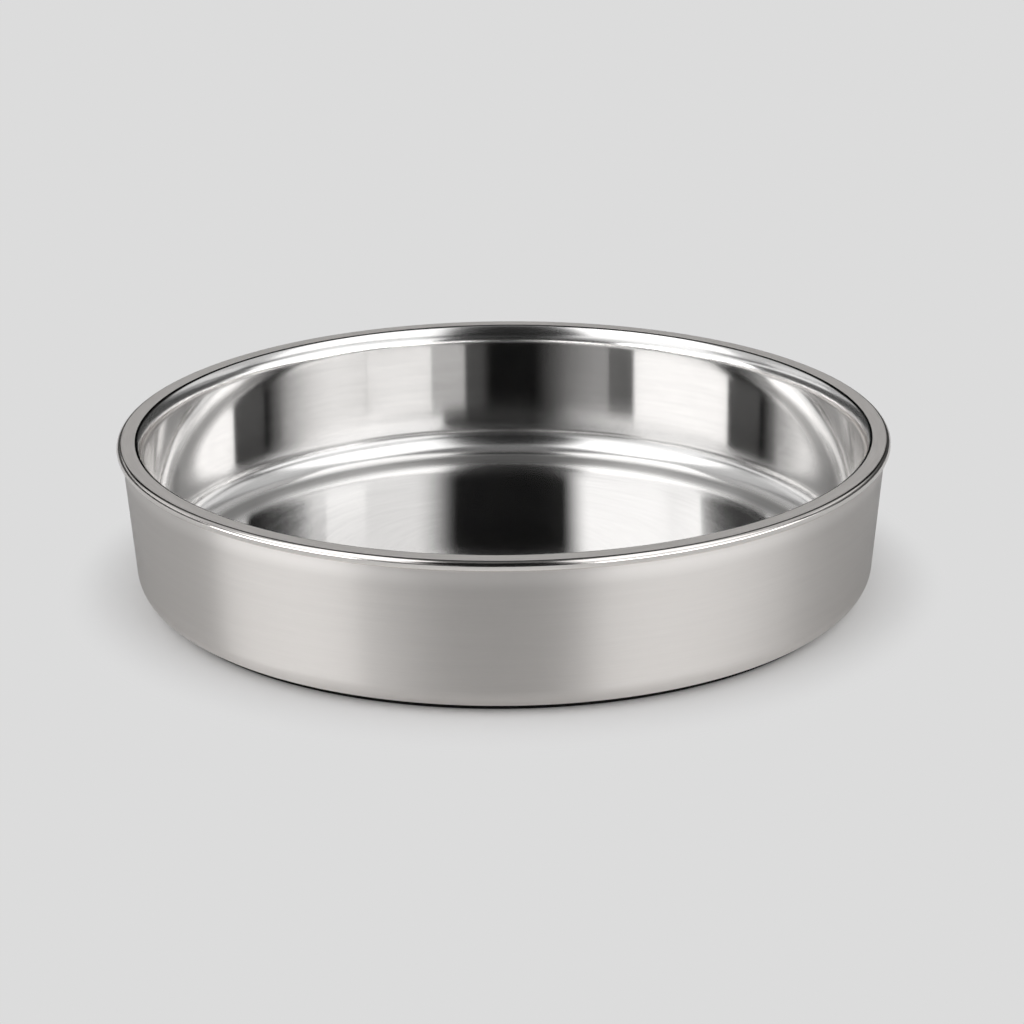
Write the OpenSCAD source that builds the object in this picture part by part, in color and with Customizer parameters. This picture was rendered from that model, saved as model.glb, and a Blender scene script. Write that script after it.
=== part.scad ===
// Shallow double-walled steel bowl for a cat.
// A polished inner bowl hangs in a brushed outer shell, each drawn from one sheet of steel.
// The inner bowl's rim rests on a lip of the shell and is rolled round it, which holds the two together.
// The shell stands on a rubber ring, whose rib sits in a groove of the base and whose foot spreads outwards.
// Lengths are in millimetres. +Z is the bowl's axis, and the origin is on the table below its middle.

/* [Bowl] */
// Diameter over the rim
rim_d = 155; // [120:1:200]
// Height from the table to the top of the rim
bowl_h = 31.5; // [24:0.5:60]

/* [Inner bowl] */
// Thickness of the inner bowl's sheet
liner_t = 0.6; // [0.4:0.1:0.8]
// Width of the rim, from its outer edge to the shoulder inside
rim_w = 4; // [3.6:0.1:8]
// Radius on the inside of the bend between the shoulder and the rim
rim_bend_r = 0.2; // [0.1:0.1:0.6]
// Lean of the shoulder between the wall and the rim, in degrees from upright
shoulder_lean = 40; // [30:1:50]
// Drop from the rim to the corner at which the shoulder and the wall would meet without a bend
shoulder_drop = 1.75; // [1.5:0.05:4]
// Straight length between the shoulder's bend and the rim's
shoulder_flat = 0.1; // [0.05:0.05:0.3]
// Radius on the inside of the rim's rolled edge
roll_r = 0.5; // [0.3:0.1:1]
// Turn of the rolled edge past upright, in degrees
roll_under = 45; // [20:5:50]
// Straight length at the end of the rolled edge
roll_end = 0.2; // [0.1:0.1:0.5]
// Radius of the corner between the wall and the floor inside
floor_corner_r = 5.4; // [2:0.2:12]

/* [Outer shell] */
// Thickness of the shell's sheet
shell_t = 0.6; // [0.4:0.1:1]
// Lean of the shell's wall from upright, in degrees
wall_lean = 4.7; // [0:0.1:12]
// Radius outside the corner between the wall and the base
base_corner_r = 4.8; // [1.5:0.1:8]
// Flat width of the lip that is turned in along the shell's top
lip_flat = 0.8; // [0.4:0.1:1.2]
// Radius on the inside of the lip's bend
lip_bend_r = 0.2; // [0.1:0.1:0.4]
// Rise of the pressed panel in the middle of the base
panel_rise = 0.5; // [0.4:0.1:0.8]
// Flat width between the panel and the ring's groove
panel_land = 9; // [4:0.5:20]
// Slope of the steps that are pressed in the base, in degrees
press_slope = 45; // [40:1:50]
// Radius on the inside of the bends that are pressed in the base
press_bend_r = 0.3; // [0.1:0.1:0.4]

/* [Non-slip ring] */
// Width of the rib that sits in the groove
rib_w = 6; // [3:0.5:12]
// Depth of the rib inside its groove
ring_seat = 0.8; // [0.7:0.1:2]
// Height that the ring stands out below the shell
ring_stand = 0.8; // [0.6:0.1:4]
// Reach of the ring's foot past the flat of the base
foot_reach = 0.8; // [0:0.1:2]
// Flat width between the corner of the base and the ring's groove
ring_land = 3; // [1:0.5:10]
// Radius of the ring's lower edges
ring_edge_r = 0.4; // [0.1:0.1:0.5]

/* [Clearances] */
// Between the two walls at the height of the floor inside, where the inner wall leans
wall_gap = 2; // [1:0.1:6]
// Between the end of the rim's rolled edge and the shell
roll_clear = 0.1; // [0.05:0.05:0.3]
// Between the rib and each end of its groove's flat roof
rib_clear = 0.1; // [0.05:0.05:0.3]
// Between the floor of the inner bowl and the roof of the ring's groove
floor_clear = 0.2; // [0.1:0.1:4]

/* [Hidden] */

// Straight pieces in each bend of a profile, and sides of each revolved solid
bend_steps = 12;
$fn = 180;

// Heights above the table
base_z = ring_stand;
groove_z = base_z + ring_seat;
panel_z = base_z + panel_rise;
floor_z = groove_z + shell_t + floor_clear + liner_t;
shell_top_z = bowl_h - liner_t;

// Radii of the rim's edge and of the corner between its flat and the shoulder
rim_r = rim_d / 2;
liner_top_r = rim_r - rim_w;

// The rolled edge: its radius outside, the corner of its turn past upright, and its way from there
roll_out_r = roll_r + liner_t;
under_run = roll_out_r * tan(roll_under / 2);
under_z = bowl_h - roll_out_r - under_run;
under_way = [-sin(roll_under), -cos(roll_under)];
// The end of the rolled edge, on its outside and on the inside that faces the shell
roll_tip = [rim_r, under_z] + under_way * (under_run + roll_end);
grip = roll_tip + liner_t * [under_way[1], -under_way[0]];

// Radii of the shell's outside face: the wall run on to the lip and to the base, and the base's flat edge
shell_top_r = grip[0] - roll_clear + (shell_top_z - grip[1]) * tan(wall_lean);
shell_foot_r = shell_top_r - (shell_top_z - base_z) * tan(wall_lean);
base_flat_r = shell_foot_r - base_corner_r * tan((90 - wall_lean) / 2);
lip_out_r = lip_bend_r + shell_t;
lip_edge_r = shell_top_r - lip_out_r * tan((90 + wall_lean) / 2) - lip_flat;

// The inner wall runs from the shoulder's corner to its foot, and never leans inwards
shoulder_in_r = liner_top_r - shoulder_drop * tan(shoulder_lean);
shoulder_z = bowl_h - shoulder_drop;
shell_in_r = shell_foot_r + (floor_z - base_z) * tan(wall_lean) - shell_t;
liner_foot_r = min(shoulder_in_r, shell_in_r - wall_gap - liner_t);
liner_lean = atan((shoulder_in_r - liner_foot_r) / (shoulder_z - floor_z));
// The shoulder's bend takes up all the length that the rim's bend and the flat leave
rim_out_r = rim_bend_r + liner_t;
rim_bend_run = rim_out_r * tan((90 - shoulder_lean) / 2);
shoulder_run = shoulder_drop / cos(shoulder_lean) - rim_bend_run - shoulder_flat;
shoulder_r = shoulder_run / tan((shoulder_lean - liner_lean) / 2);

// Level runs of a pressed step's slope, of the bend at its foot and of the bend under its roof
function step_run(rise) = rise / tan(press_slope);
foot_bend_run = (press_bend_r + shell_t) * tan(press_slope / 2);
roof_bend_run = press_bend_r * tan(press_slope / 2);

// Radii of the ring's foot, the groove and its rib, and the panel, from the edge of the base inwards
foot_out = base_flat_r + foot_reach;
groove_foot_out = base_flat_r - ring_land - foot_bend_run;
groove_roof_out = groove_foot_out - step_run(ring_seat);
rib_out = groove_roof_out - roof_bend_run - rib_clear;
rib_in = rib_out - rib_w;
groove_roof_in = rib_in - rib_clear - roof_bend_run;
groove_foot_in = groove_roof_in - step_run(ring_seat);
panel_foot = groove_foot_in - panel_land - 2 * foot_bend_run;
panel_roof = panel_foot - step_run(panel_rise);

// Profiles are lists of corners [radius, height, bend radius], from the axis outwards.
// A corner's bend radius is measured on the face that the corners describe.
function at(corner) = [corner[0], corner[1]];
function heading(a, b) = (at(b) - at(a)) / norm(at(b) - at(a));
function left_of(u) = [-u[1], u[0]];
function turned(v, angle) = [
    v[0] * cos(angle) - v[1] * sin(angle),
    v[0] * sin(angle) + v[1] * cos(angle)
];
// Angle from one heading to the next, positive to the left
function turn(u, v) = atan2(u[0] * v[1] - u[1] * v[0], u * v);

// Points round the bend at corner b, on the face that lies "off" to the left of the corners
function bend(a, b, c, off) =
    let (
        u = heading(a, b),
        angle = turn(u, heading(b, c)),
        side = sign(angle),
        start = at(b) - u * b[2] * tan(abs(angle) / 2),
        centre = start + left_of(u) * side * b[2],
        arm = left_of(u) * (off - side * b[2])
    )
    [for (i = [0 : bend_steps]) centre + turned(arm, angle * i / bend_steps)];

// One face of a sheet: it starts level on the axis, and ends in an edge that is cut square
function face(corners, off) =
    let (
        last = len(corners) - 1,
        edge = left_of(heading(corners[last - 1], corners[last]))
    )
    concat(
        [at(corners[0]) + [0, off]],
        [
            for (i = [1 : last - 1])
                each bend(corners[i - 1], corners[i], corners[i + 1], off)
        ],
        [at(corners[last]) + edge * off]
    );

function backwards(points) = [for (i = [len(points) - 1 : -1 : 0]) points[i]];

// Sheet metal bent along the corners and revolved, with its thickness to the left of them
module drawn_sheet(corners, thickness) {
    rotate_extrude()
        polygon(concat(face(corners, 0), backwards(face(corners, thickness))));
}

// The corners follow the inside face, so the sheet lies to the right of them
module inner_bowl() {
    color("gainsboro")
        drawn_sheet([
            [0, floor_z, 0],
            [liner_foot_r, floor_z, floor_corner_r],
            [shoulder_in_r, shoulder_z, shoulder_r],
            [liner_top_r, bowl_h, rim_out_r],
            [rim_r, bowl_h, roll_out_r],
            [rim_r, under_z, roll_out_r],
            [roll_tip[0], roll_tip[1], 0]
        ], -liner_t);
}

// The corners follow the outside face, so the sheet lies to the left of them
module outer_shell() {
    foot_bend = press_bend_r + shell_t;
    color("silver")
        drawn_sheet([
            [0, panel_z, 0],
            [panel_roof, panel_z, press_bend_r],
            [panel_foot, base_z, foot_bend],
            [groove_foot_in, base_z, foot_bend],
            [groove_roof_in, groove_z, press_bend_r],
            [groove_roof_out, groove_z, press_bend_r],
            [groove_foot_out, base_z, foot_bend],
            [shell_foot_r, base_z, base_corner_r],
            [shell_top_r, shell_top_z, lip_out_r],
            [lip_edge_r, shell_top_z, 0]
        ], shell_t);
}

// The rib lies flat against the roof of its groove, and the foot against the base round it
module non_slip_ring() {
    rib_top_in = [rib_in, groove_z, 0];
    low_in = [rib_in, 0, ring_edge_r];
    low_out = [foot_out, 0, ring_edge_r];
    foot_top = [foot_out, base_z, 0];
    rib_foot = [rib_out, base_z, 0];
    rib_top_out = [rib_out, groove_z, 0];
    color("#2b2b2b")
        rotate_extrude()
            polygon(concat(
                [at(rib_top_in)],
                bend(rib_top_in, low_in, low_out, 0),
                bend(low_in, low_out, foot_top, 0),
                [at(foot_top), at(rib_foot), at(rib_top_out)]
            ));
}

inner_bowl();
outer_shell();
non_slip_ring();
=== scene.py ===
# %% [markdown]
# # A double-walled steel bowl for a cat
# The bowl is three pieces: a polished inner bowl, a brushed outer shell and a rubber ring under the base.
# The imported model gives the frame: every piece below is made in metres, where its solid already stands.
# The fine pieces then take the place of the solids, because a mirror shows every facet of a coarse mesh.

# %% Load the frame
import bpy
import math
from mathutils import Matrix, Vector


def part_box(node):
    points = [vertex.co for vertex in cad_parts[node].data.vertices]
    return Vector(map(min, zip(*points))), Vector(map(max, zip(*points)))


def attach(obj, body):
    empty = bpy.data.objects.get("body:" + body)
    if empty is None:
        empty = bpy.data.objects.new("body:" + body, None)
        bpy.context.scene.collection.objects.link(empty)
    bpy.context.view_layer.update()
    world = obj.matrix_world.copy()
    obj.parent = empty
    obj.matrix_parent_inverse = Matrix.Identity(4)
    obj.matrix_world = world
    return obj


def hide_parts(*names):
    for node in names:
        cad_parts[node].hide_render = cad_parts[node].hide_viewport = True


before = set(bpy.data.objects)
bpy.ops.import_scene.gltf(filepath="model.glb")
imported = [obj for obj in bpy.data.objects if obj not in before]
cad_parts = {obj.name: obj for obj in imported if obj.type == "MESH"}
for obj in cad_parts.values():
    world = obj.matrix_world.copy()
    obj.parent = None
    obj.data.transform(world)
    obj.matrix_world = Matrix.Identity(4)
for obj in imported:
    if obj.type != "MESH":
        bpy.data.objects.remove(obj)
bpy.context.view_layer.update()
print("frame loaded:", sorted(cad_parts))

# %% [markdown]
# ## Sizes
# The boxes of the solids give the outer sizes, and the sheet's thickness and bends are named here once.
# All of them are in metres, so a millimetre is worth a name of its own.

# %% Sizes of the bowl
MM = 0.001
RIM_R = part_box("inner_bowl")[1][0]
BOWL_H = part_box("inner_bowl")[1][2]
BASE_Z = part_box("outer_shell")[0][2]
LIP_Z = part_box("outer_shell")[1][2]
FOOT_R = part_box("non_slip_ring")[1][0]
GROOVE_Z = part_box("non_slip_ring")[1][2]

SHEET_T = 0.6 * MM
RIM_W = 4.0 * MM
RIM_BEND_R = 0.8 * MM
SHOULDER_LEAN = math.radians(40)
SHOULDER_DROP = 1.75 * MM
SHOULDER_FLAT = 0.1 * MM
ROLL_R = 1.1 * MM
ROLL_UNDER = math.radians(45)
ROLL_END = 0.2 * MM
FLOOR_CLEAR = 0.2 * MM
FLOOR_Z = GROOVE_Z + 2 * SHEET_T + FLOOR_CLEAR
FLOOR_CORNER_R = 5.4 * MM
WALL_LEAN = math.radians(4.7)
ROLL_CLEAR = 0.1 * MM
WALL_GAP = 2.0 * MM
print("rim radius %.2f mm, height %.2f mm" % (RIM_R / MM, BOWL_H / MM))

# %% [markdown]
# ## Radii that follow
# The rest is arithmetic. The rolled edge comes first, because its end grips the shell and so sets the
# shell's radius. The shell then sets how wide the inner wall may be at its foot.

# %% Radii of the two walls
UNDER_RUN = ROLL_R * math.tan(ROLL_UNDER / 2)
UNDER_Z = BOWL_H - ROLL_R - UNDER_RUN
ROLL_TIP = (RIM_R - math.sin(ROLL_UNDER) * (UNDER_RUN + ROLL_END),
            UNDER_Z - math.cos(ROLL_UNDER) * (UNDER_RUN + ROLL_END))
GRIP = (ROLL_TIP[0] - math.cos(ROLL_UNDER) * SHEET_T, ROLL_TIP[1] + math.sin(ROLL_UNDER) * SHEET_T)
SHELL_TOP_R = GRIP[0] - ROLL_CLEAR + (LIP_Z - GRIP[1]) * math.tan(WALL_LEAN)
SHELL_FOOT_R = SHELL_TOP_R - (LIP_Z - BASE_Z) * math.tan(WALL_LEAN)

RIM_INNER_R = RIM_R - RIM_W
RIM_BEND_RUN = RIM_BEND_R * math.tan((math.pi / 2 - SHOULDER_LEAN) / 2)
RIM_FLAT_R = RIM_INNER_R + RIM_BEND_RUN
SHOULDER_IN_R = RIM_INNER_R - SHOULDER_DROP * math.tan(SHOULDER_LEAN)
SHOULDER_Z = BOWL_H - SHOULDER_DROP
FLOOR_R = SHELL_FOOT_R + (FLOOR_Z - BASE_Z) * math.tan(WALL_LEAN) - 2 * SHEET_T - WALL_GAP
INNER_LEAN = math.atan((SHOULDER_IN_R - FLOOR_R) / (SHOULDER_Z - FLOOR_Z))
SHOULDER_RUN = SHOULDER_DROP / math.cos(SHOULDER_LEAN) - RIM_BEND_RUN - SHOULDER_FLAT
SHOULDER_R = SHOULDER_RUN / math.tan((SHOULDER_LEAN - INNER_LEAN) / 2)
print("inner wall leans %.2f degrees, shoulder radius %.2f mm" % (math.degrees(INNER_LEAN), SHOULDER_R / MM))

# %% [markdown]
# ## A profile that is bent like sheet metal
# A drawn bowl is one profile, turned about the axis. Its corners are few and easy to name, and each has
# a bend radius. Arcs could be drawn by hand in the viewport, but a small function keeps them true circles.
# The number of steps in a bend follows from how far a chord may stray from the arc: the face in sight gets
# a finer tolerance than the hidden one. Guard points next to the bends keep long flats flat when shaded.

# %% Points along a bent profile
SEEN_TOLERANCE = 0.001 * MM
HIDDEN_TOLERANCE = 0.01 * MM
GUARD = 0.12 * MM
TOUCHING = 1e-7


def bend_points(before, corner, after, offset, tolerance):
    """Points round one corner, on the face that lies offset to the left of the corners."""
    here = Vector(corner[:2])
    way_in = (here - Vector(before[:2])).normalized()
    way_out = (Vector(after[:2]) - here).normalized()
    angle = math.atan2(way_in.cross(way_out), way_in.dot(way_out))
    side = math.copysign(1, angle)
    left = Vector((-way_in.y, way_in.x))
    start = here - way_in * corner[2] * math.tan(abs(angle) / 2)
    centre = start + left * side * corner[2]
    arm = left * (offset - side * corner[2])
    steps = max(3, math.ceil(abs(angle) / math.sqrt(8 * tolerance / arm.length)))
    return [centre + Matrix.Rotation(angle * i / steps, 2) @ arm for i in range(steps + 1)]


def face_points(corners, offset, tolerance):
    """One face of a sheet, from the axis to its cut edge."""
    points = [Vector(corners[0][:2]) + Vector((0, offset))]
    way = (Vector(corners[-1][:2]) - Vector(corners[-2][:2])).normalized()
    end = Vector(corners[-1][:2]) + Vector((-way.y, way.x)) * offset
    bends = [bend_points(*three, offset, tolerance) for three in zip(corners, corners[1:], corners[2:])]
    for bend in bends + [[end]]:
        straight = bend[0] - points[-1]
        if straight.length > 4 * GUARD:
            points += [points[-1] + straight.normalized() * GUARD, bend[0] - straight.normalized() * GUARD]
        if straight.length < TOUCHING:
            bend = bend[1:]
        points += bend
    return points


def sheet_profile(corners, thickness):
    """Both faces of a sheet as one line, out along the seen one and back along the hidden one."""
    return face_points(corners, 0, SEEN_TOLERANCE) + face_points(corners, thickness, HIDDEN_TOLERANCE)[::-1]


# %% [markdown]
# ## Turning a profile
# A Screw modifier could turn the profile too. Here a Geometry Nodes tree does it: a grid gets one row for
# each point of the profile and one column for each step round the axis, and every vertex is moved to its
# place. Merging by distance closes the seam and the two poles, so the result is one closed skin.

# %% The turning tree
TURNING = bpy.data.node_groups.new("Turned profile", "GeometryNodeTree")


def add_socket(name, kind, way="INPUT"):
    return TURNING.interface.new_socket(name=name, in_out=way, socket_type=kind)


PROFILE_IN = add_socket("Profile", "NodeSocketGeometry")
STEPS_IN = add_socket("Steps round", "NodeSocketInt")
CREASE_IN = add_socket("Crease angle", "NodeSocketFloat")
FINISH_IN = add_socket("Finish", "NodeSocketMaterial")
RIM_FINISH_IN = add_socket("Rim finish", "NodeSocketMaterial")
RIM_FROM_IN = add_socket("Rim from radius", "NodeSocketFloat")
add_socket("Turned", "NodeSocketGeometry", "OUTPUT")


def tree_node(kind, settings=None, inputs=None):
    """A node of the turning tree, with its settings and then its inputs set or linked."""
    node = TURNING.nodes.new(kind)
    for name, value in (settings or {}).items():
        setattr(node, name, value)
    for key, value in (inputs or {}).items():
        if isinstance(value, bpy.types.NodeSocket):
            TURNING.links.new(value, node.inputs[key])
        else:
            node.inputs[key].default_value = value
    return node


def tree_math(operation, a, b):
    return tree_node("ShaderNodeMath", {"operation": operation}, {0: a, 1: b}).outputs[0]


given = TURNING.nodes.new("NodeGroupInput").outputs
count = tree_node("GeometryNodeAttributeDomainSize", {"component": "MESH"}, {0: given["Profile"]}).outputs[0]
columns = tree_math("ADD", given["Steps round"], 1)
grid = tree_node("GeometryNodeMeshGrid", None, {"Vertices X": count, "Vertices Y": columns})
index = tree_node("GeometryNodeInputIndex").outputs[0]
row = tree_math("FLOOR", tree_math("DIVIDE", tree_math("ADD", index, 0.5), columns), 0)
column = tree_math("SUBTRACT", index, tree_math("MULTIPLY", row, columns))
place = tree_node("GeometryNodeInputPosition").outputs[0]
sample = tree_node("GeometryNodeSampleIndex", {"data_type": "FLOAT_VECTOR", "domain": "POINT"},
                   {"Geometry": given["Profile"], "Value": place, "Index": row})
angle = tree_math("MULTIPLY", tree_math("DIVIDE", column, given["Steps round"]), math.tau)
spun = tree_node("ShaderNodeVectorRotate", {"rotation_type": "Z_AXIS"},
                 {"Vector": sample.outputs[0], "Angle": angle})
moved = tree_node("GeometryNodeSetPosition", None, {"Geometry": grid.outputs["Mesh"], "Position": spun.outputs[0]})
merged = tree_node("GeometryNodeMergeByDistance", None, {"Geometry": moved.outputs[0], "Distance": TOUCHING})
smooth = tree_node("GeometryNodeSetShadeSmooth", {"domain": "FACE"}, {"Geometry": merged.outputs[0]})
bent = tree_node("GeometryNodeInputMeshEdgeAngle").outputs["Unsigned Angle"]
sharp = tree_math("GREATER_THAN", bent, given["Crease angle"])
creased = tree_node("GeometryNodeSetShadeSmooth", {"domain": "EDGE"},
                    {"Geometry": smooth.outputs[0], "Selection": sharp, "Shade Smooth": False})
whole = tree_node("GeometryNodeRealizeInstances", None, {"Geometry": creased.outputs[0]})
finished = tree_node("GeometryNodeSetMaterial", None,
                     {"Geometry": whole.outputs[0], "Material": given["Finish"]})
flat_place = tree_node("ShaderNodeVectorMath", {"operation": "MULTIPLY"}, {0: place, 1: (1, 1, 0)}).outputs[0]
reach = tree_node("ShaderNodeVectorMath", {"operation": "LENGTH"}, {0: flat_place}).outputs["Value"]
on_rim = tree_math("GREATER_THAN", reach, given["Rim from radius"])
finished = tree_node("GeometryNodeSetMaterial", None,
                     {"Geometry": finished.outputs[0], "Selection": on_rim, "Material": given["Rim finish"]})
TURNING.links.new(finished.outputs[0], TURNING.nodes.new("NodeGroupOutput").inputs[0])
print("turning tree:", len(TURNING.nodes), "nodes")

# %% [markdown]
# ## From a profile to a piece
# The profile is a line of vertices with the tree on it as a modifier. The result is copied to a plain mesh and
# the modifier goes away with the line. A closed skin has a signed volume, which tells if it is inside out.

# %% Make one turned piece
STEPS_ROUND = 480
CREASE = math.radians(35)


def turned_piece(name, profile, finish, rim_finish=None, rim_from=1.0):
    """Turns a profile of (radius, height) points into a plain mesh object with outward faces."""
    line = bpy.data.meshes.new(name + "_profile")
    line.from_pydata([(p[0], 0, p[1]) for p in profile], [(i, i + 1) for i in range(len(profile) - 1)], [])
    drawn = bpy.data.objects.new(name + "_profile", line)
    bpy.context.scene.collection.objects.link(drawn)
    turning = drawn.modifiers.new("Turn", "NODES")
    turning.node_group = TURNING
    turning[STEPS_IN.identifier] = STEPS_ROUND
    turning[CREASE_IN.identifier] = CREASE
    turning[FINISH_IN.identifier] = finish
    turning[RIM_FINISH_IN.identifier] = rim_finish or finish
    turning[RIM_FROM_IN.identifier] = rim_from
    graph = bpy.context.evaluated_depsgraph_get()
    mesh = bpy.data.meshes.new_from_object(drawn.evaluated_get(graph))
    bpy.data.objects.remove(drawn)
    mesh.name = name
    piece = bpy.data.objects.new(name, mesh)
    bpy.context.scene.collection.objects.link(piece)
    return face_outwards(piece)


def face_outwards(piece):
    """Turns the skin the right way round if its signed volume comes out negative."""
    mesh = piece.data
    mesh.calc_loop_triangles()
    at = [v.co for v in mesh.vertices]
    volume = sum(at[a].dot(at[b].cross(at[c])) for a, b, c in (t.vertices for t in mesh.loop_triangles)) / 6
    if volume < 0:
        mesh.flip_normals()
    print("%s: %d triangles, %.2f cm3" % (piece.name, len(mesh.loop_triangles), abs(volume) * 1e6))
    return piece


# %% [markdown]
# ## Finishes as sums
# A finish is a tree of shader nodes, and most of it is arithmetic. One small class wraps a socket, so that
# a mask or a streak can be written as a plain sum and the Math nodes appear by themselves.
# The steel is brushed and polished round the axis, so its patterns are drawn on two numbers: the distance
# along the profile, and the direction round the axis. Radius plus height is near enough to the first.

# %% Sockets that add up
GLOSS_SPAN = (0.3, 0.7)
TONE_SPAN = (0.25, 0.75)


class Wire:
    """An output socket on which sums can be written."""

    def __init__(self, tree, socket):
        self.tree, self.socket = tree, socket

    def sum(self, operation, *values):
        return self.tree.node("ShaderNodeMath", {"operation": operation}, dict(enumerate(values)))

    def __add__(self, other): return self.sum("ADD", self, other)
    def __radd__(self, other): return self.sum("ADD", other, self)
    def __sub__(self, other): return self.sum("SUBTRACT", self, other)
    def __rsub__(self, other): return self.sum("SUBTRACT", other, self)
    def __mul__(self, other): return self.sum("MULTIPLY", self, other)
    def __rmul__(self, other): return self.sum("MULTIPLY", other, self)
    def __truediv__(self, other): return self.sum("DIVIDE", self, other)
    def __rtruediv__(self, other): return self.sum("DIVIDE", other, self)
    def __pow__(self, other): return self.sum("POWER", self, other)

    def step(self, low, high, out_low=0.0, out_high=1.0):
        """A smooth step: out_low below low, out_high above high."""
        return self.tree.node("ShaderNodeMapRange", {"interpolation_type": "SMOOTHSTEP"},
                              {"Value": self, "From Min": low, "From Max": high,
                               "To Min": out_low, "To Max": out_high})


class Finish:
    """A material's node tree, emptied, with one way to add any node to it."""

    def __init__(self, data):
        data.use_nodes = True
        self.data, self.tree = data, data.node_tree
        self.tree.nodes.clear()

    def node(self, kind, settings=None, inputs=None, out=0):
        made = self.tree.nodes.new(kind)
        for name, value in (settings or {}).items():
            setattr(made, name, value)
        for key, value in (inputs or {}).items():
            if isinstance(value, Wire):
                self.tree.links.new(value.socket, made.inputs[key])
            else:
                made.inputs[key].default_value = value
        return Wire(self, made.outputs[out]) if len(made.outputs) else made

    def outputs(self, wire):
        """All the outputs of the node that a wire comes from."""
        return [Wire(self, socket) for socket in wire.socket.node.outputs]

    def noise(self, vector, scale=1.0, detail=2.0, roughness=0.5):
        return self.node("ShaderNodeTexNoise", None,
                         {"Vector": vector, "Scale": scale, "Detail": detail, "Roughness": roughness})

    def mix(self, amount, low, high):
        """A colour between low and high."""
        return self.node("ShaderNodeMix", {"data_type": "RGBA"}, {"Factor": amount, 6: low, 7: high}, out=2)

    def surface(self, shader):
        self.node("ShaderNodeOutputMaterial", None, {"Surface": shader})
        return self.data


def steel_coordinates(finish):
    """Radius, height, and the way round the axis as a point on a unit circle."""
    spot = finish.node("ShaderNodeTexCoord", None, None, out=3)
    x, y, z = finish.outputs(finish.node("ShaderNodeSeparateXYZ", None, {0: spot}))
    radius = (x * x + y * y + 1e-9) ** 0.5
    return radius, z, x / radius, y / radius


def brushing(finish, along, round_x, round_y, lines_per_mm, stretch):
    """Noise drawn out round the axis: fine across the profile, long along the brushing."""
    vector = finish.node("ShaderNodeCombineXYZ", None,
                         {0: along * (lines_per_mm / MM), 1: round_x * stretch, 2: round_y * stretch})
    return finish.noise(vector, 1.0, 2.0, 0.6)


# %% [markdown]
# ## The polished steel
# The inside of the bowl is polished on a lathe until it is close to a mirror. The floor is a little less
# bright than the wall, the bends below and above the wall are softer, and a satin ring is left at the edge of
# the floor, where the buffing wheel does not reach; over that ring the colour is also darkened towards black as
# painted shade in the corner between floor and wall. One material covers them all: the height tells where the
# wall begins and ends, and the radius where the ring is. The gloss wanders, because buffing is never even.

# %% Polished steel
POLISHED_LIGHT = (0.95, 0.942, 0.935, 1)
POLISHED_DARK = (0.91, 0.902, 0.895, 1)
FLOOR_GLOSS = (0.09, 0.105)
WALL_GLOSS = (0.05, 0.06)
BEND_GLOSS = (0.20, 0.18)
RING_GLOSS = 0.40
# Painted shade: the share of the ring's colour that stays, the rest is mixed to black
PAINTED_RING_SHADE = 0.42
BUFF_LINES, BUFF_STRETCH = 0.8, 3.0
BLACK = (0, 0, 0, 1)
FLOOR_FLAT_R = FLOOR_R - FLOOR_CORNER_R * math.tan((math.pi / 2 - INNER_LEAN) / 2)
RING_STARTS = (FLOOR_FLAT_R - 6.5 * MM, FLOOR_FLAT_R - 1.5 * MM)
RING_ENDS = (FLOOR_FLAT_R, FLOOR_FLAT_R + 2.8 * MM)
BEND_STARTS = (FLOOR_FLAT_R + 0.6 * MM, FLOOR_FLAT_R + 2 * MM)
WALL_STARTS = (FLOOR_Z + 4 * MM, FLOOR_Z + 8 * MM)
WALL_ENDS = (SHOULDER_Z - 2.4 * MM, SHOULDER_Z - 1.2 * MM)

polish = Finish(bpy.data.materials.new("polished_steel"))
radius, height, round_x, round_y = steel_coordinates(polish)
along = radius + height
buffing = brushing(polish, along, round_x, round_y, BUFF_LINES, BUFF_STRETCH)
off_floor = radius.step(*RING_STARTS)
off_ring = radius.step(*BEND_STARTS)
on_wall = height.step(*WALL_STARTS) * (1 - height.step(*WALL_ENDS))
rough = buffing.step(*GLOSS_SPAN, *FLOOR_GLOSS)
rough = rough + off_floor * (RING_GLOSS - rough)
rough = rough + off_ring * (height.step(FLOOR_Z, SHOULDER_Z, *BEND_GLOSS) - rough)
rough = rough + on_wall * (buffing.step(*GLOSS_SPAN, *WALL_GLOSS) - rough)
colour = polish.mix(buffing.step(*TONE_SPAN), POLISHED_DARK, POLISHED_LIGHT)
# Painted shade: over the ring at the floor's edge the colour is darkened towards black, as shade in the corner
painted_corner_shade = off_floor * (1 - radius.step(*RING_ENDS))
colour = polish.mix(painted_corner_shade * (1 - PAINTED_RING_SHADE), colour, BLACK)
shader = polish.node("ShaderNodeBsdfPrincipled", None,
                     {"Base Color": colour, "Metallic": 1.0, "Roughness": rough})
POLISHED_STEEL = polish.surface(shader)
print("polished steel:", len(polish.tree.nodes), "nodes")

# %% [markdown]
# ## The satin rim
# The flat of the rim is left satin. A rough metal would still mirror a little, so the flat is only partly
# metallic, and stays evenly grey from every side. The rolled edge round it is rubbed smoother by the roller.
# A second material keeps this apart from the polish inside.

# %% Satin rim
SATIN_LIGHT = (0.90, 0.870, 0.845, 1)
SATIN_DARK = (0.82, 0.790, 0.765, 1)
FLAT_METALLIC = 0.55
FLAT_ROUGH = (0.62, 0.72)
EDGE_ROUGH = (0.12, 0.16)
EDGE_STARTS = (RIM_R - 1.05 * MM, RIM_R - 0.7 * MM)
SATIN_LINES, SATIN_STRETCH = 9.0, 9.0
SATIN_BUMP = 0.12
SCRATCH_DEPTH = 0.02 * MM

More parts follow.
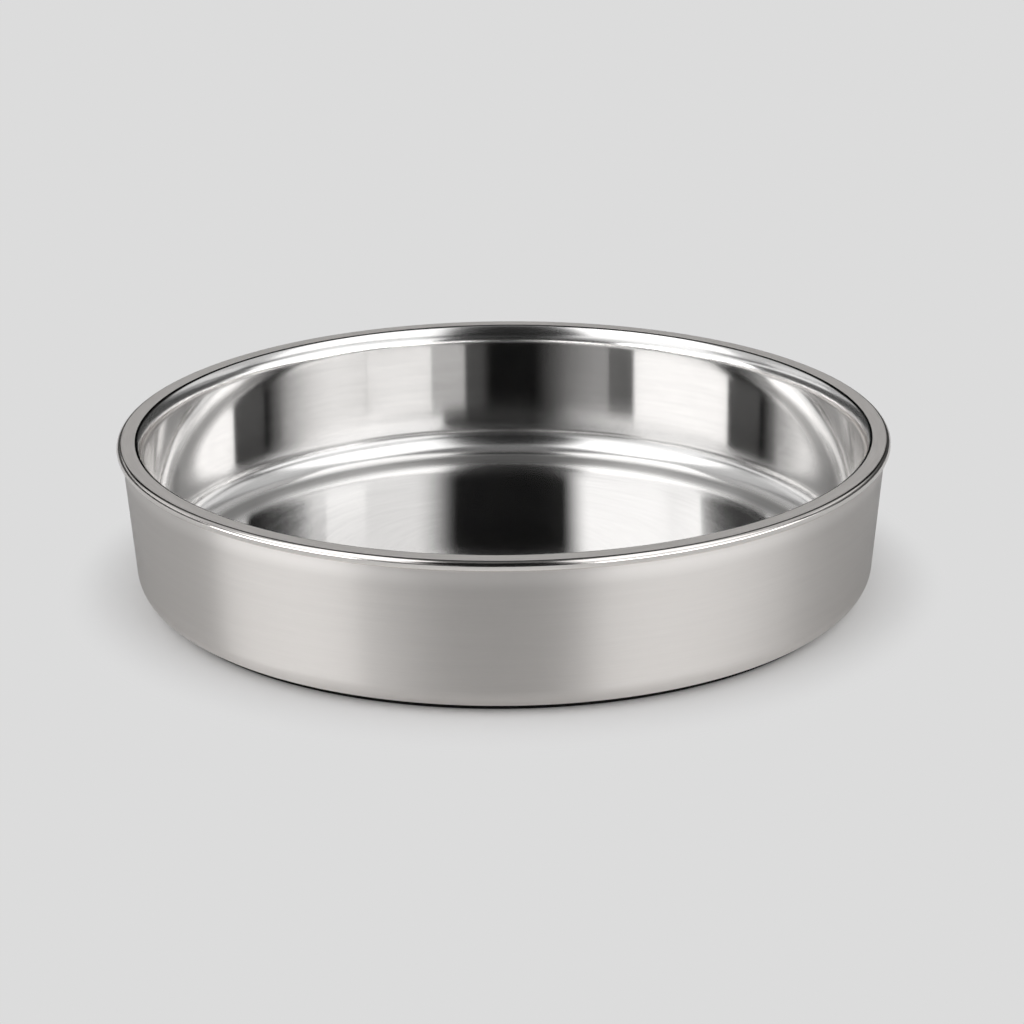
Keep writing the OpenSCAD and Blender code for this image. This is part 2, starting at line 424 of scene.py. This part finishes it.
satin = Finish(bpy.data.materials.new("satin_rim"))
radius, height, round_x, round_y = steel_coordinates(satin)
along = radius + height
fine_lines = brushing(satin, along, round_x, round_y, SATIN_LINES, SATIN_STRETCH)
edge = radius.step(*EDGE_STARTS)
flat_rough = fine_lines.step(*GLOSS_SPAN, *FLAT_ROUGH)
edge_rough = fine_lines.step(*GLOSS_SPAN, *EDGE_ROUGH)
rough = flat_rough + edge * (edge_rough - flat_rough)
colour = satin.mix(fine_lines.step(*TONE_SPAN), SATIN_DARK, SATIN_LIGHT)
normal = satin.node("ShaderNodeBump", None,
                    {"Strength": SATIN_BUMP, "Distance": SCRATCH_DEPTH, "Height": fine_lines})
shader = satin.node("ShaderNodeBsdfPrincipled", None,
                    {"Base Color": colour, "Metallic": edge.step(0, 1, FLAT_METALLIC, 1), "Roughness": rough,
                     "Normal": normal})
SATIN_RIM = satin.surface(shader)
print("satin rim:", len(satin.tree.nodes), "nodes")

# %% [markdown]
# ## The brushed steel
# The shell is brushed on a lathe, so fine lines run round it and a light on it is drawn out up and down.
# The Anisotropic setting does the drawing out, turned a quarter because the lines run round the axis,
# and noise that is stretched the same way gives single lines that catch the light. A lighter band under the
# rim is painted light: the colour there is made lighter, to stand for light that the wall catches under the rim.

# %% Brushed steel
BRUSHED_LIGHT = (0.84, 0.812, 0.788, 1)
BRUSHED_DARK = (0.72, 0.694, 0.672, 1)
# Painted light: a lighter colour for the wall just under the rim
PAINTED_TOP_LIGHT = (0.97, 0.942, 0.918, 1)
BRUSHED_ROUGH = (0.38, 0.46)
BAND_LINES, BAND_STRETCH = 0.7, 2.0
HAIR_LINES, HAIR_STRETCH = 12.0, 14.0
HAIR_SHARE = 0.6
TOP_STARTS = (LIP_Z - 6 * MM, LIP_Z - 2.5 * MM)
TOP_SHARE = 0.75
BRUSHED_BUMP = 0.15
DRAWN_OUT = 0.95
QUARTER_TURN = 0.25

brush = Finish(bpy.data.materials.new("brushed_steel"))
radius, height, round_x, round_y = steel_coordinates(brush)
along = radius + height
bands = brushing(brush, along, round_x, round_y, BAND_LINES, BAND_STRETCH)
hairlines = brushing(brush, along, round_x, round_y, HAIR_LINES, HAIR_STRETCH)
rough = hairlines.step(*TONE_SPAN, *BRUSHED_ROUGH)
colour = brush.mix(hairlines * HAIR_SHARE + bands * (1 - HAIR_SHARE), BRUSHED_DARK, BRUSHED_LIGHT)
# Painted light: the wall's colour is made lighter towards the top, under the rim
colour = brush.mix(height.step(*TOP_STARTS) * TOP_SHARE, colour, PAINTED_TOP_LIGHT)
normal = brush.node("ShaderNodeBump", None,
                    {"Strength": BRUSHED_BUMP, "Distance": SCRATCH_DEPTH, "Height": hairlines})
shader = brush.node("ShaderNodeBsdfPrincipled", None,
                    {"Base Color": colour, "Metallic": 1.0, "Roughness": rough, "Normal": normal,
                     "Anisotropic": DRAWN_OUT, "Anisotropic Rotation": QUARTER_TURN})
BRUSHED_STEEL = brush.surface(shader)
print("brushed steel:", len(brush.tree.nodes), "nodes")

# %% [markdown]
# ## The rubber
# The ring is moulded black rubber: nearly black, matt, with a fine grain and a little dust on it. Its black is
# darker than plain rubber, as painted shade where the ring meets the table under the base.

# %% Ring rubber
# Black rubber, made darker than plain rubber as painted shade under the base; the dusty colour is real dust
RUBBER_DARK = (0.005, 0.005, 0.005, 1)
RUBBER_DUSTY = (0.014, 0.0135, 0.013, 1)
RUBBER_ROUGH = (0.62, 0.8)
RUBBER_SHEEN = 0.08
DUST_SCALE, DUST_SPAN = 140.0, (0.4, 0.75)
GRAIN_SCALE, GRAIN_BUMP, GRAIN_DEPTH = 2600.0, 0.3, 0.05 * MM

rubber = Finish(bpy.data.materials.new("ring_rubber"))
spot = rubber.node("ShaderNodeTexCoord", None, None, out=3)
dust = rubber.noise(spot, DUST_SCALE, 4.0, 0.6)
grain = rubber.noise(spot, GRAIN_SCALE, 2.0, 0.5)
colour = rubber.mix(dust.step(*DUST_SPAN), RUBBER_DARK, RUBBER_DUSTY)
normal = rubber.node("ShaderNodeBump", None,
                     {"Strength": GRAIN_BUMP, "Distance": GRAIN_DEPTH, "Height": grain})
shader = rubber.node("ShaderNodeBsdfPrincipled", None,
                     {"Base Color": colour, "Roughness": dust.step(*GLOSS_SPAN, *RUBBER_ROUGH), "Normal": normal,
                      "Specular IOR Level": RUBBER_SHEEN})
RING_RUBBER = rubber.surface(shader)
print("ring rubber:", len(rubber.tree.nodes), "nodes")

# %% [markdown]
# ## The inner bowl
# One sheet makes the floor, the wall, the rounded shoulder, the flat rim and the rolled edge that grips the
# shell. The corners follow the inside face, and the thickness is negative because the metal lies to the
# right of them.

# %% Inner bowl
polished_bowl = turned_piece("polished_bowl", sheet_profile([
    (0, FLOOR_Z, 0),
    (FLOOR_R, FLOOR_Z, FLOOR_CORNER_R),
    (SHOULDER_IN_R, SHOULDER_Z, SHOULDER_R),
    (RIM_INNER_R, BOWL_H, RIM_BEND_R),
    (RIM_R, BOWL_H, ROLL_R),
    (RIM_R, UNDER_Z, ROLL_R),
    (ROLL_TIP[0], ROLL_TIP[1], 0)], -SHEET_T), POLISHED_STEEL, SATIN_RIM, RIM_FLAT_R)

# %% [markdown]
# ## The outer shell
# The second sheet starts as the pressed base, turns up into the brushed wall and ends in a lip under the
# rim. The base has a raised panel in its middle and a groove for the ring, pressed with 45 degree steps.

# %% Outer shell
LIP_BEND_R = 0.8 * MM
LIP_FLAT = 0.8 * MM
BASE_CORNER_R = 4.8 * MM
PANEL_RISE = 0.5 * MM
PANEL_Z = BASE_Z + PANEL_RISE
PANEL_LAND = 9.0 * MM
GROOVE_LAND = 3.0 * MM
RIB_W = 6.0 * MM
RIB_CLEAR = 0.1 * MM
ROOF_BEND_R = 0.3 * MM
FOOT_BEND_R = ROOF_BEND_R + SHEET_T
PRESS_SLOPE = math.radians(45)

LIP_EDGE_R = SHELL_TOP_R - LIP_BEND_R * math.tan((math.pi / 2 + WALL_LEAN) / 2) - LIP_FLAT
ROOF_RUN = ROOF_BEND_R * math.tan(PRESS_SLOPE / 2)
FOOT_RUN = FOOT_BEND_R * math.tan(PRESS_SLOPE / 2)
STEP_RUN = (GROOVE_Z - BASE_Z) / math.tan(PRESS_SLOPE)
BASE_FLAT_R = SHELL_FOOT_R - BASE_CORNER_R * math.tan((math.pi / 2 - WALL_LEAN) / 2)
GROOVE_OUT = BASE_FLAT_R - GROOVE_LAND - FOOT_RUN - STEP_RUN
RIB_OUT = GROOVE_OUT - ROOF_RUN - RIB_CLEAR
RIB_IN = RIB_OUT - RIB_W
GROOVE_IN = RIB_IN - RIB_CLEAR - ROOF_RUN
PANEL_FOOT = GROOVE_IN - STEP_RUN - PANEL_LAND - 2 * FOOT_RUN
PANEL_ROOF = PANEL_FOOT - PANEL_RISE / math.tan(PRESS_SLOPE)

brushed_shell = turned_piece("brushed_shell", sheet_profile([
    (0, PANEL_Z, 0),
    (PANEL_ROOF, PANEL_Z, ROOF_BEND_R),
    (PANEL_FOOT, BASE_Z, FOOT_BEND_R),
    (GROOVE_IN - STEP_RUN, BASE_Z, FOOT_BEND_R),
    (GROOVE_IN, GROOVE_Z, ROOF_BEND_R),
    (GROOVE_OUT, GROOVE_Z, ROOF_BEND_R),
    (GROOVE_OUT + STEP_RUN, BASE_Z, FOOT_BEND_R),
    (SHELL_FOOT_R, BASE_Z, BASE_CORNER_R),
    (SHELL_TOP_R, LIP_Z, LIP_BEND_R),
    (LIP_EDGE_R, LIP_Z, 0)], SHEET_T), BRUSHED_STEEL)

# %% [markdown]
# ## The non-slip ring
# A rib on the rubber ring sits in the groove, and a foot spreads from it under the base, so that its edge
# shows as a thin black line under the bowl. The profile is a closed loop: the last point is the first one
# again, and the merge closes it. The lower edges are rounded, as a mould leaves them.

# %% Non-slip ring
RING_EDGE_R = 0.4 * MM
ring_corners = [(RIB_IN, GROOVE_Z, 0), (RIB_IN, 0, RING_EDGE_R), (FOOT_R, 0, RING_EDGE_R), (FOOT_R, BASE_Z, 0)]
ring_loop = [ring_corners[0][:2]]
ring_loop += bend_points(*ring_corners[:3], 0, SEEN_TOLERANCE)
ring_loop += bend_points(*ring_corners[1:], 0, SEEN_TOLERANCE)
ring_loop += [ring_corners[3][:2], (RIB_OUT, BASE_Z), (RIB_OUT, GROOVE_Z), ring_corners[0][:2]]
foot_ring = turned_piece("foot_ring", ring_loop, RING_RUBBER)

# %% [markdown]
# ## Tie the pieces to the frame
# Each fine piece stands for one solid and rides on the only body.

# %% Ride and replace
for piece, node, slot in ((polished_bowl, "inner_bowl", "polished_steel"),
                          (brushed_shell, "outer_shell", "brushed_steel"),
                          (foot_ring, "non_slip_ring", "ring_rubber")):
    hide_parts(node)
    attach(piece, "root")
print("pieces tied:", polished_bowl.name, brushed_shell.name, foot_ring.name)

# %% [markdown]
# ## The camera
# The camera was worked out from the outlines of the rim, the floor and the base in the photo: a long lens
# about 20 degrees above the table. Its place is given by what it looks at, its distance and its angles.

# %% Camera
FRAME_PX = 1024
FOCAL_PX = 3164.3
SENSOR_MM = 36
NEAREST = 0.01
CAMERA_DISTANCE = 643.3 * MM
CAMERA_ELEVATION = math.radians(19.617)
CAMERA_ROLL = math.radians(-0.422)
AIM = Vector((1.57 * MM, 0, 13.39 * MM))

lens = bpy.data.cameras.new("camera")
lens.sensor_width = SENSOR_MM
lens.lens = FOCAL_PX / FRAME_PX * lens.sensor_width
lens.clip_start = NEAREST
camera = bpy.data.objects.new("camera", lens)
bpy.context.scene.collection.objects.link(camera)
forward = Vector((0, math.cos(CAMERA_ELEVATION), -math.sin(CAMERA_ELEVATION)))
level = Vector((1, 0, 0))
upright = level.cross(forward)
right = math.cos(CAMERA_ROLL) * level + math.sin(CAMERA_ROLL) * upright
up = right.cross(forward)
camera.matrix_world = (Matrix.Translation(AIM - forward * CAMERA_DISTANCE)
                       @ Matrix((right, up, -forward)).transposed().to_4x4())
bpy.context.scene.camera = camera
print("lens %.1f mm" % lens.lens)

# %% [markdown]
# ## The studio
# Polished steel has no look of its own: it shows the room, so the room needs care. A softbox stands on each
# side in front, with a patch and a strip below it, and the dark gap between left and right shows in the wall
# and in the floor. Two strong low strips light the brushed shell, whose lines draw them out into upright
# bands. Dim panels further back give the wall's ends their stripes, and wings, skirts and a ceiling fill
# what is left. Each panel is named by the directions of its four corners as the bowl sees them, azimuth from
# the camera's side and elevation, and is hidden from the camera, so that no view has a lamp in it.

# %% Softboxes
STUDIO_R = 2.5
GRID_STEPS = 12


def towards(azimuth, elevation):
    a, e = math.radians(azimuth), math.radians(elevation)
    return Vector((math.sin(a) * math.cos(e), -math.cos(a) * math.cos(e), math.sin(e)))


def soft_edges(name, strength, fades):
    """A glow that fades towards the left, right, lower and upper edge over the given shares."""
    glow = Finish(bpy.data.materials.new(name))
    uv = glow.node("ShaderNodeUVMap")
    u, v, _ = glow.outputs(glow.node("ShaderNodeSeparateXYZ", None, {0: uv}))
    share = 1
    for along, fade in zip((u, 1 - u, v, 1 - v), fades):
        if fade > 0:
            share = along.step(0, fade) * share
    colour = glow.node("ShaderNodeCombineColor", None, {0: share, 1: share, 2: share})
    return glow.surface(glow.node("ShaderNodeEmission", None, {"Color": colour, "Strength": strength}))


def softbox(name, corners, facing, fades, strength, away=1.0):
    """A flat panel whose corners lie in these directions: low left, low right, high right, high left."""
    middle = towards(*facing)
    ends = [towards(*c) * (away * STUDIO_R / towards(*c).dot(middle)) for c in corners]
    mesh = bpy.data.meshes.new(name)
    shares = [i / GRID_STEPS for i in range(GRID_STEPS + 1)]
    spots = [(u, v) for v in shares for u in shares]
    verts = [ends[0].lerp(ends[1], u).lerp(ends[3].lerp(ends[2], u), v) for u, v in spots]
    n = GRID_STEPS + 1
    faces = [(i * n + j, i * n + j + 1, (i + 1) * n + j + 1, (i + 1) * n + j)
             for i in range(GRID_STEPS) for j in range(GRID_STEPS)]
    mesh.from_pydata(verts, [], faces)
    uv = mesh.uv_layers.new(name="UVMap")
    for loop in mesh.loops:
        uv.data[loop.index].uv = spots[loop.vertex_index]
    mesh.materials.append(soft_edges(name, strength, fades))
    panel = bpy.data.objects.new(name, mesh)
    bpy.context.scene.collection.objects.link(panel)
    panel.visible_camera = False
    return panel


# Name, four corners, facing, fades, strength, and the distance in studio radii where it is not 1
PANELS = (
    ("softbox_left", [(-89, 29), (-27, 29), (-38, 76), (-130, 72)], (-70, 45), (0, 0.10, 0, 0.2), 1.5),
    ("softbox_right", [(19, 29), (88, 29), (130, 72), (32, 76)], (65, 45), (0.1, 0, 0, 0.2), 1.3),
    ("patch_left", [(-70, 19.5), (-19, 19.5), (-21, 29), (-78, 29)], (-46, 24), (0, 0.22, 0, 0), 1.1),
    ("patch_right", [(15, 19.5), (62, 19.5), (70, 29), (17, 29)], (41, 24), (0.36, 0, 0, 0), 0.80),
    ("strip_left", [(-88, 8.5), (-8, 8.5), (-8, 19.5), (-88, 19.5)], (-50, 15), (0, 0.7, 0, 0), 0.92),
    ("strip_right", [(20, 8.5), (93, 8.5), (93, 19.5), (20, 19.5)], (54, 15), (0.03, 0.02, 0, 0), 1.2),
    ("low_left", [(-90, 1), (-40, 1), (-40, 8.5), (-90, 8.5)], (-65, 5), (0.04, 0.05, 0.1, 0), 5.4),
    ("low_right", [(24, 1), (112, 1), (112, 6.5), (24, 6.5)], (67, 4), (0.05, 0.75, 0.1, 0), 5.6),
    ("side_left", [(-133, 14.5), (-88, 14.5), (-88, 19.5), (-133, 19.5)], (-110, 17), (0.01, 0, 0.05, 0), 1.05),
    ("rear_left", [(-155, 14.5), (-133, 14.5), (-133, 19.5), (-155, 19.5)], (-144, 17), (0.02, 0.01, 0.05, 0), 0.58),
    ("dim_left", [(-173, 14.5), (-155, 14.5), (-155, 19.5), (-173, 19.5)], (-164, 17), (0.5, 0.02, 0.05, 0), 0.08),
    ("side_right", [(93, 14.5), (109, 14.5), (109, 19.5), (93, 19.5)], (101, 17), (0.02, 0.02, 0.05, 0), 0.13),
    ("rear_right", [(109, 14.5), (162, 14.5), (162, 19.5), (109, 19.5)], (135, 17), (0.02, 0.9, 0.05, 0), 0.34),
    ("front_low", [(-8, 16), (20, 16), (20, 19), (-8, 19)], (6, 17), (0.02, 0.02, 0.1, 0.1), 0.1),
    ("block_left", [(-142, 21), (-103, 21), (-100, 33), (-136, 33)], (-120, 26), (0.1, 0.1, 0.02, 0.1), 0.7),
    ("block_right", [(100, 21), (142, 21), (136, 33), (98, 33)], (120, 26), (0.1, 0.1, 0.02, 0.1), 0.7),
    ("wing_left", [(-146, 19.5), (-60, 19.5), (-60, 74), (-146, 74)], (-103, 46), (0.25, 0, 0, 0.1), 0.48, 1.4),
    ("wing_right", [(58, 19.5), (146, 19.5), (146, 74), (58, 74)], (102, 46), (0, 0.25, 0, 0.1), 0.48, 1.4),
    ("skirt_left", [(-170, 1), (-94, 1), (-94, 13), (-170, 13)], (-132, 7), (0.1, 0.05, 0.1, 0.1), 0.06, 1.4),
    ("skirt_right", [(94, 1), (170, 1), (170, 13), (94, 13)], (132, 7), (0.05, 0.1, 0.1, 0.1), 0.06, 1.4),
    ("ceiling", [(-135, 60), (-45, 60), (45, 60), (135, 60)], (0, 90), (0.1, 0.1, 0.1, 0.1), 0.12, 1.4),
    ("below", [(-45, -60), (-135, -60), (135, -60), (45, -60)], (0, -90), (0.1, 0.1, 0.1, 0.1), 1.0),
)
for panel in PANELS:
    softbox(*panel)
print("%d panels at %.1f m" % (len(PANELS), STUDIO_R))

# %% [markdown]
# ## Table and backdrop
# The table is plain pale grey. Near the bowl it is an ordinary matt surface, so the shadow under the rim
# and the dark line under the base are real. Further out the camera sees one even grey that runs on into
# the backdrop, from Is Camera Ray, so no horizon shows. The steel does not mirror that grey, because the
# photo's polished inside shows a dark room between the panels. From below the table lets the camera through,
# and a hole that the ring covers lets light reach the base, so the underside can be looked at too.
# A mirror in a round bowl passes light on many times, so more bounces are allowed than usual.

# %% Table and world
BACKDROP_GREY = 0.716
TABLE_GREY = 0.92
TABLE_R = 3.0
TABLE_DROP = 0.02 * MM
TABLE_SIDES = 128
HOLE_R = FOOT_R - 1.5 * MM
SHADOW_R = (0.067, 0.090)
ROOM_GLOW = 0.003
MIRROR_BOUNCES = 16

table_finish = Finish(bpy.data.materials.new("table"))
spot = table_finish.node("ShaderNodeTexCoord", None, None, out=3)
x, y, _ = table_finish.outputs(table_finish.node("ShaderNodeSeparateXYZ", None, {0: spot}))
far = ((x * x + y * y) ** 0.5).step(*SHADOW_R)
seen = table_finish.node("ShaderNodeLightPath", None, None, out=0)
from_below = table_finish.node("ShaderNodeNewGeometry", None, None, out=6)
matt = table_finish.node("ShaderNodeBsdfDiffuse", None, {"Color": (TABLE_GREY, TABLE_GREY, TABLE_GREY, 1)})
even = table_finish.node("ShaderNodeEmission", None, {"Strength": BACKDROP_GREY})
top = table_finish.node("ShaderNodeMixShader", None, {0: far * seen, 1: matt, 2: even})
clear = table_finish.node("ShaderNodeBsdfTransparent")
both = table_finish.node("ShaderNodeMixShader", None, {0: from_below * seen, 1: top, 2: clear})
TABLE = table_finish.surface(both)

mesh = bpy.data.meshes.new("table")
turns = [math.tau * i / TABLE_SIDES for i in range(TABLE_SIDES)]
mesh.from_pydata([(r * math.cos(a), r * math.sin(a), -TABLE_DROP) for r in (HOLE_R, TABLE_R) for a in turns], [],
                 [(i, TABLE_SIDES + i, TABLE_SIDES + j, j)
                  for i, j in ((i, (i + 1) % TABLE_SIDES) for i in range(TABLE_SIDES))])
mesh.materials.append(TABLE)
table = bpy.data.objects.new("table", mesh)
bpy.context.scene.collection.objects.link(table)

world = bpy.data.worlds.new("backdrop")
bpy.context.scene.world = world
sky = Finish(world)
seen = sky.node("ShaderNodeLightPath", None, None, out=0)
room = sky.node("ShaderNodeBackground", None, {"Strength": ROOM_GLOW})
pale = sky.node("ShaderNodeBackground", None, {"Strength": BACKDROP_GREY})
backdrop = sky.node("ShaderNodeMixShader", None, {0: seen, 1: room, 2: pale})
sky.node("ShaderNodeOutputWorld", None, {"Surface": backdrop})
bpy.context.scene.view_settings.view_transform = "Standard"
bpy.context.scene.cycles.max_bounces = MIRROR_BOUNCES
bpy.context.scene.cycles.glossy_bounces = MIRROR_BOUNCES
print("table and backdrop grey %.3f" % BACKDROP_GREY)
